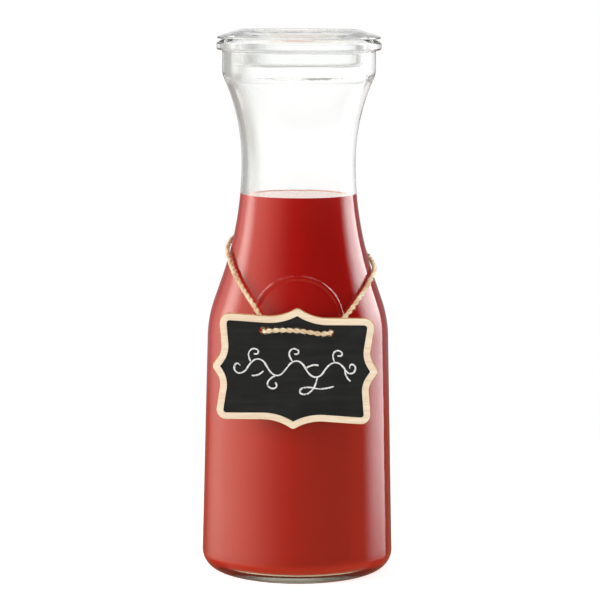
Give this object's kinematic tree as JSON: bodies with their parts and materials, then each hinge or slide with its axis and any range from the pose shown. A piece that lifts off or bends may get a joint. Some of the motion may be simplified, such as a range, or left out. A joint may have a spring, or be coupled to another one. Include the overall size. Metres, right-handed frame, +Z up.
{
  "type": "wide-mouth glass bottle of juice",
  "caption": "Clear glass carafe bottle with a flared neck and a flat glass lid, filled with red juice, with a scalloped wooden chalk tag hung round its shoulder on twine",
  "frame": {"origin": "centre of the flat ring that the bottle stands on, on the bottle's axis", "axes": "+Z up along the bottle's axis; -Y is the front, where the tag hangs; +X is to the right seen from the front"},
  "size_m": [0.0885, 0.0924, 0.2506],
  "materials": {
    "clear_glass": "clear, polished",
    "red_juice": "opaque thick juice",
    "pale_wood": "bare, sanded",
    "chalkboard": "matt blackboard paint",
    "jute": "two-ply twisted twine"
  },
  "bodies": {
    "root": {"bottle": "clear_glass", "lid": "clear_glass", "juice": "red_juice", "tag_board": "pale_wood", "chalk_panel": "chalkboard", "twine": "jute", "twine_knot": "jute"}
  },
  "joints": []
}
